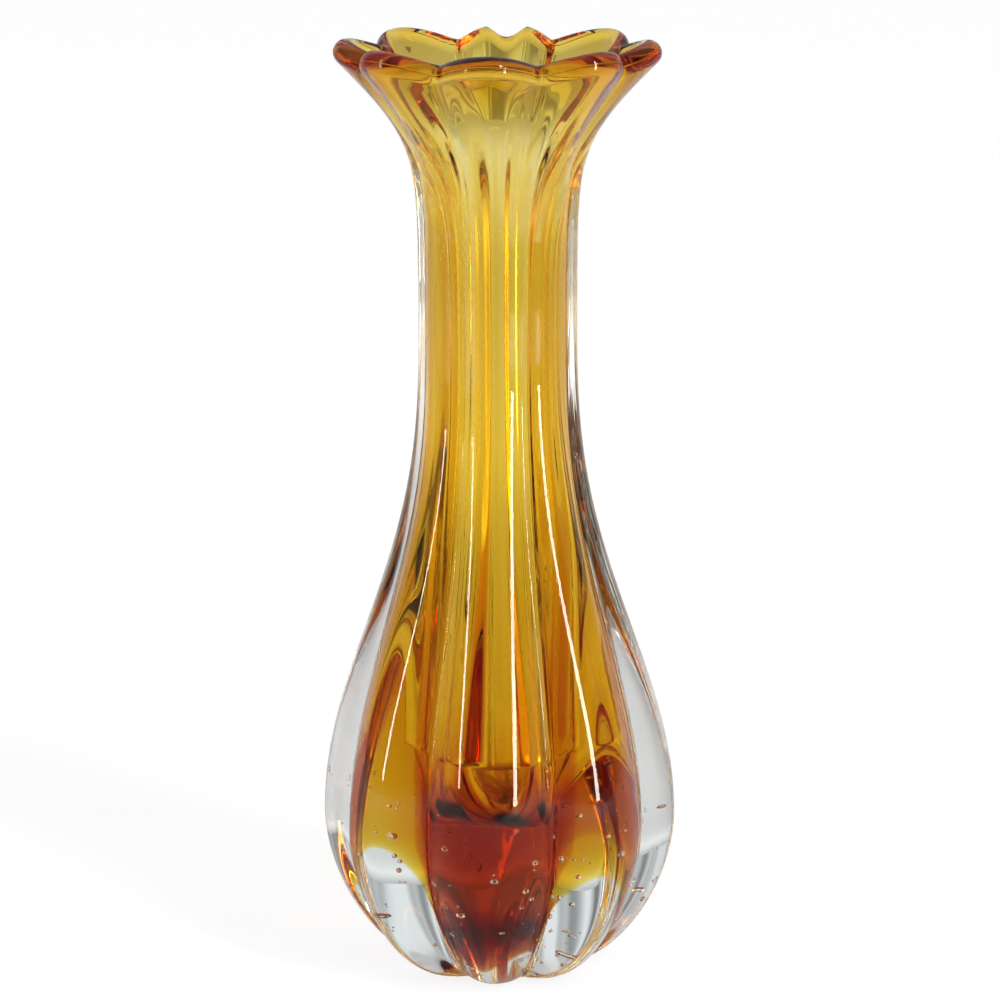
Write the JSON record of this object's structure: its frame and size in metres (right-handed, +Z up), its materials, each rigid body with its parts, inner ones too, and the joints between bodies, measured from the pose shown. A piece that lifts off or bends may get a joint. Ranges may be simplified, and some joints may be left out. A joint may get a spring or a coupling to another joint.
{
  "type": "glass bud vase",
  "caption": "Slim-necked bud vase of layered glass with a ribbed bulb, a flared lobed rim and a narrow bore, clear outside and amber within.",
  "frame": {"origin": "centre of the flat base, on the surface the vase stands on", "axes": "+Z up along the neck, -Y towards the front rib"},
  "size_m": [0.0864, 0.0864, 0.229],
  "materials": {
    "clear_glass": "fire polished",
    "amber_glass": "fire polished",
    "ruby_glass": "fused inside"
  },
  "bodies": {
    "root": {"clear_casing": "clear_glass", "amber_core": "amber_glass", "ruby_tip": "ruby_glass"}
  },
  "joints": []
}
